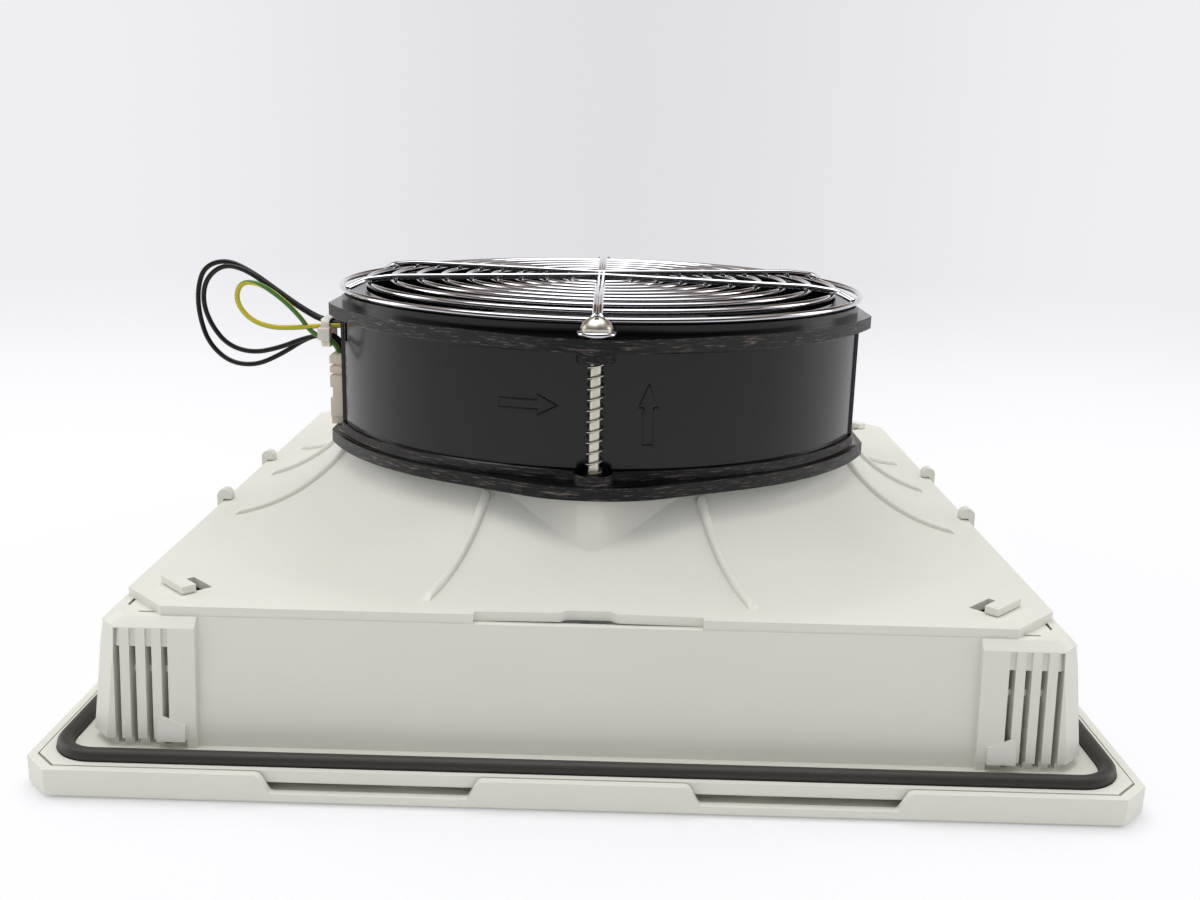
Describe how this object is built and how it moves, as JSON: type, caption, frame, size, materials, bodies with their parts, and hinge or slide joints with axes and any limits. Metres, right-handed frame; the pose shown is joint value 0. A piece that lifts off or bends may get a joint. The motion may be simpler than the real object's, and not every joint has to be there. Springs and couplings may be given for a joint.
{
  "type": "cabinet filter fan",
  "caption": "Square filter fan for a cabinet wall: louvred front cover over a filter mat, clip-in housing, bell hood, axial fan with wire finger guard and looped leads",
  "frame": {"origin": "centre of the front cover's outer face, which lies on the table", "axes": "+Z points from the cover into the cabinet along the fan's axis, +X runs along the edge with the pry notches, +Y points away from that edge to the hinge"},
  "size_m": [0.325, 0.325, 0.1412],
  "materials": {
    "housing_plastic": "moulded",
    "gasket_foam": "foamed",
    "filter_fibre": "fleece",
    "black_casting": "gloss",
    "black_paint": "satin",
    "motor_steel": "laminated",
    "copper_wire": "varnished copper",
    "bearing_steel": "ground",
    "rotor_aluminium": "cast",
    "guard_chrome": "polished",
    "zinc_plate": "zinc plated",
    "terminal_plastic": "moulded",
    "black_rubber": "moulded",
    "lead_black": "sleeve",
    "lead_earth": "green and yellow sleeve",
    "tie_nylon": "translucent"
  },
  "bodies": {
    "housing": {"housing_frame": "housing_plastic", "sealing_gasket": "gasket_foam", "filter_mat": "filter_fibre", "support_grid": "housing_plastic", "fan_hood": "housing_plastic", "fan_frame": "black_casting", "stator_core": "motor_steel", "motor_windings": "copper_wire", "lower_bearing": "bearing_steel", "upper_bearing": "bearing_steel", "preload_spring": "bearing_steel", "finger_guard": "guard_chrome", "guard_screws": "zinc_plate", "guard_washers": "zinc_plate", "terminal_block": "terminal_plastic", "terminal_screws": "zinc_plate", "lead_grommet": "black_rubber", "lead_black_outer": "lead_black", "lead_black_inner": "lead_black", "lead_earth": "lead_earth", "cable_tie": "tie_nylon"},
    "cover": {"front_cover": "housing_plastic"},
    "impeller": {"motor_shaft": "bearing_steel", "shaft_circlip": "bearing_steel", "rotor_cup": "black_paint", "rotor_cage": "rotor_aluminium", "impeller": "black_paint"}
  },
  "joints": [
    {"name": "impeller_spin", "type": "hinge", "parent": "housing", "child": "impeller", "pos_m": [0, 0, 0.1], "axis": [0, 0, 1], "continuous": true},
    {"name": "cover_swing", "type": "hinge", "parent": "housing", "child": "cover", "pos_m": [0, 0.1604, 0.0089], "axis": [1, 0, 0], "range_deg": [0, 90]}
  ]
}
